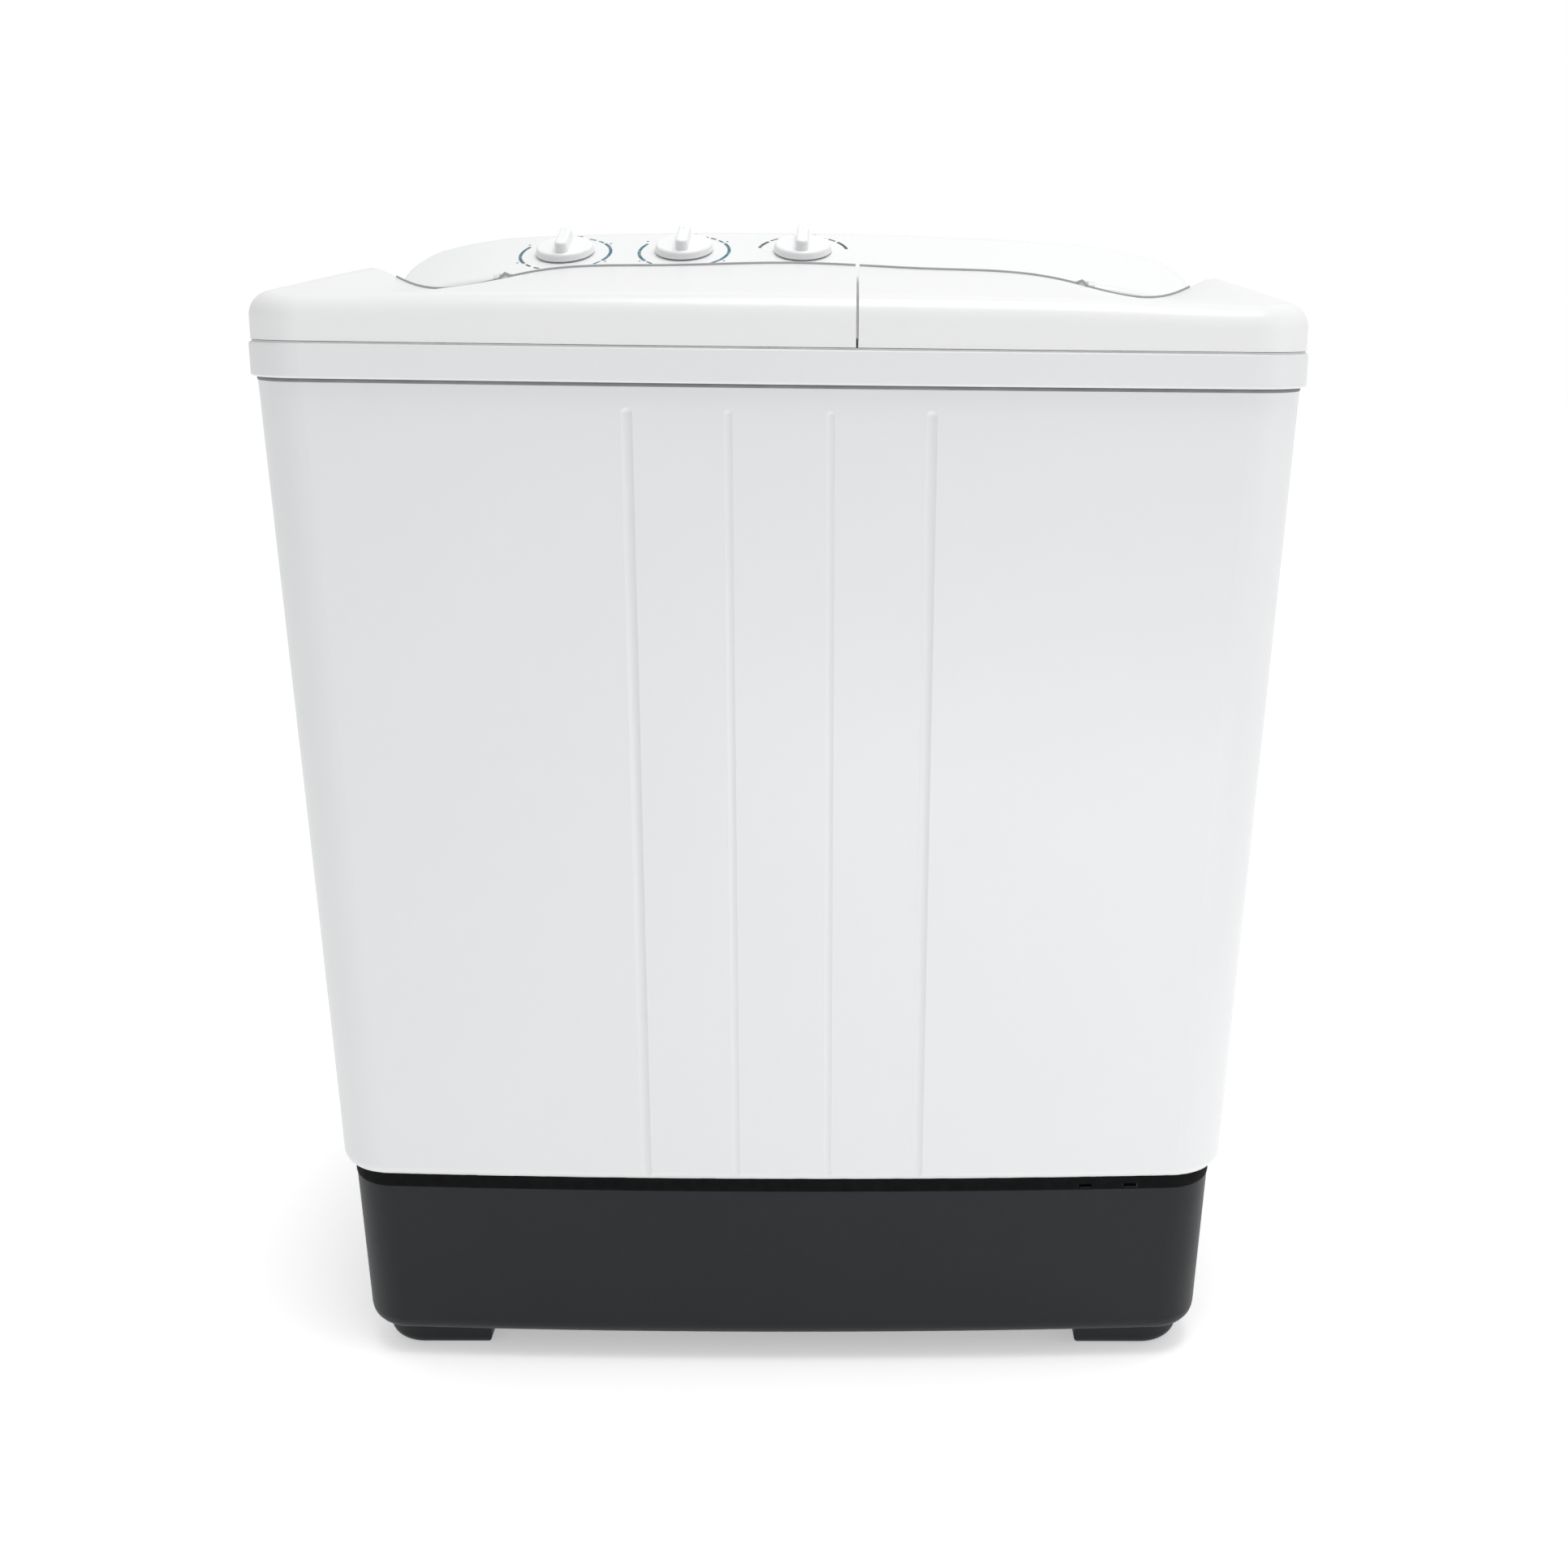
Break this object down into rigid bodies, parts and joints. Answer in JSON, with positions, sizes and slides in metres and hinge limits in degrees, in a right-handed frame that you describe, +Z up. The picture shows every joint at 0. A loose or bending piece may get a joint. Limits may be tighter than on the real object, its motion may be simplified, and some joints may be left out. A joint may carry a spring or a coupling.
{
  "type": "twin-tub washing machine",
  "caption": "Semi-automatic top-load washing machine with a wide wash tub beside a spin tub, hinged lids, a sloped dial console and a tapered body on a dark base.",
  "frame": {"origin": "on the floor under the middle of the machine's plan", "axes": "+X to the machine's right seen from the front, +Y to the back, +Z up; the front faces -Y"},
  "size_m": [0.785, 0.465, 0.9454],
  "materials": {
    "white_body": "satin white moulding",
    "white_lid": "glossy white moulding",
    "knob_white": "glossy white moulding",
    "charcoal": "matte charcoal moulding",
    "cover_grey": "satin paint",
    "tub_plastic": "smooth moulding",
    "pulsator_plastic": "smooth pale blue moulding",
    "basket_plastic": "smooth moulding",
    "dark_plastic": "matte moulding",
    "steel": "bright zinc plate",
    "cast_metal": "as cast",
    "motor_case": "grey paint",
    "black_rubber": "matte",
    "net_fabric": "open mesh",
    "wire_sleeve": "matte sleeve"
  },
  "bodies": {
    "chassis": {"base_pan": "charcoal", "foot_front_left": "charcoal", "foot_front_right": "charcoal", "foot_rear_left": "charcoal", "foot_rear_right": "charcoal", "cabinet": "white_body", "rear_cover": "cover_grey", "rear_cover_screws": "steel", "cord_gland": "dark_plastic", "tub_collar": "white_body", "collar_screws": "steel", "lid_hinge_pins": "steel", "lid_bumpers": "black_rubber", "lid_switch": "dark_plastic", "console_shell": "white_body", "water_inlet_spigot": "dark_plastic", "wash_timer": "dark_plastic", "wash_selector_switch": "dark_plastic", "spin_timer": "dark_plastic", "wash_tub": "tub_plastic", "overflow_channel": "tub_plastic", "pulsator_bearing_housing": "cast_metal", "drive_belt": "black_rubber", "wash_motor": "motor_case", "wash_motor_bracket": "steel", "wash_motor_bushes": "black_rubber", "wash_motor_screws": "steel", "spin_tub": "tub_plastic", "spin_tub_seal": "black_rubber", "spin_motor": "motor_case", "spin_motor_dampers": "black_rubber", "spin_motor_bolts": "steel", "brake_lever_pin": "steel", "brake_cable": "wire_sleeve", "drain_valve_body": "dark_plastic", "drain_hose": "black_rubber", "drain_outlet_spigot": "dark_plastic", "spin_drain_hose": "black_rubber", "capacitor_box": "dark_plastic", "wiring_harness": "wire_sleeve"},
    "wash_lid": {"wash_lid": "white_lid"},
    "spin_lid": {"spin_lid": "white_lid"},
    "pulsator": {"pulsator": "pulsator_plastic", "pulsator_screw": "steel", "pulsator_shaft": "steel", "driven_pulley": "dark_plastic"},
    "wash_rotor": {"wash_motor_shaft": "steel", "motor_pulley": "cast_metal"},
    "spin_basket": {"spin_basket": "basket_plastic", "spin_shaft": "steel", "brake_drum": "cast_metal", "spin_motor_shaft": "steel"},
    "wash_timer_knob": {"wash_timer_knob": "knob_white"},
    "wash_selector_knob": {"wash_selector_knob": "knob_white"},
    "spin_timer_knob": {"spin_timer_knob": "knob_white"},
    "drain_plug": {"drain_plug": "black_rubber", "drain_pull_strap": "dark_plastic"},
    "brake_lever": {"brake_lever": "steel"},
    "lint_filter": {"lint_filter": "pulsator_plastic", "lint_filter_net": "net_fabric"}
  },
  "joints": [
    {"name": "wash_lid_hinge", "type": "hinge", "parent": "chassis", "child": "wash_lid", "pos_m": [-0.16845, 0.084, 0.889], "axis": [-1, 0, 0], "range_deg": [0, 98]},
    {"name": "spin_lid_hinge", "type": "hinge", "parent": "chassis", "child": "spin_lid", "pos_m": [0.22405, 0.084, 0.889], "axis": [-1, 0, 0], "range_deg": [0, 98]},
    {"name": "pulsator_spin", "type": "hinge", "parent": "chassis", "child": "pulsator", "pos_m": [-0.16395, -0.01725, 0.262], "axis": [0, 0, 1], "continuous": true},
    {"name": "wash_rotor_spin", "type": "hinge", "parent": "chassis", "child": "wash_rotor", "pos_m": [-0.27895, 0.08975, 0.262], "axis": [0, 0, 1], "continuous": true},
    {"name": "spin_basket_spin", "type": "hinge", "parent": "chassis", "child": "spin_basket", "pos_m": [0.2151, -0.04882, 0.222], "axis": [0, 0, 1], "continuous": true},
    {"name": "wash_timer_knob_turn", "type": "hinge", "parent": "chassis", "child": "wash_timer_knob", "pos_m": [-0.218, 0.162, 0.91582], "axis": [0.0407, 0.3581, -0.9328], "range_deg": [0, 300]},
    {"name": "wash_selector_knob_turn", "type": "hinge", "parent": "chassis", "child": "wash_selector_knob", "pos_m": [-0.107, 0.162, 0.91943], "axis": [0.02, 0.3583, -0.9334], "range_deg": [0, 90]},
    {"name": "spin_timer_knob_turn", "type": "hinge", "parent": "chassis", "child": "spin_timer_knob", "pos_m": [0.004, 0.162, 0.92057], "axis": [-0.0007, 0.3584, -0.9336], "range_deg": [0, 300]},
    {"name": "drain_plug_lift", "type": "slide", "parent": "chassis", "child": "drain_plug", "axis": [0, 0, 1], "range_m": [0, 0.014]},
    {"name": "brake_lever_swing", "type": "hinge", "parent": "chassis", "child": "brake_lever", "pos_m": [0.2671, 0.00818, 0.23], "axis": [0, 0, 1], "range_deg": [0, 2]},
    {"name": "lint_filter_lift", "type": "slide", "parent": "chassis", "child": "lint_filter", "axis": [0, 0, 1], "range_m": [0, 0.07]}
  ],
  "couplings": [
    {"joint": "wash_rotor_spin", "follows": "pulsator_spin", "ratio": 3.7404},
    {"joint": "drain_plug_lift", "follows": "wash_selector_knob_turn", "m_per_rad": 0.0089127},
    {"joint": "brake_lever_swing", "follows": "spin_lid_hinge", "ratio": 0.020408}
  ]
}
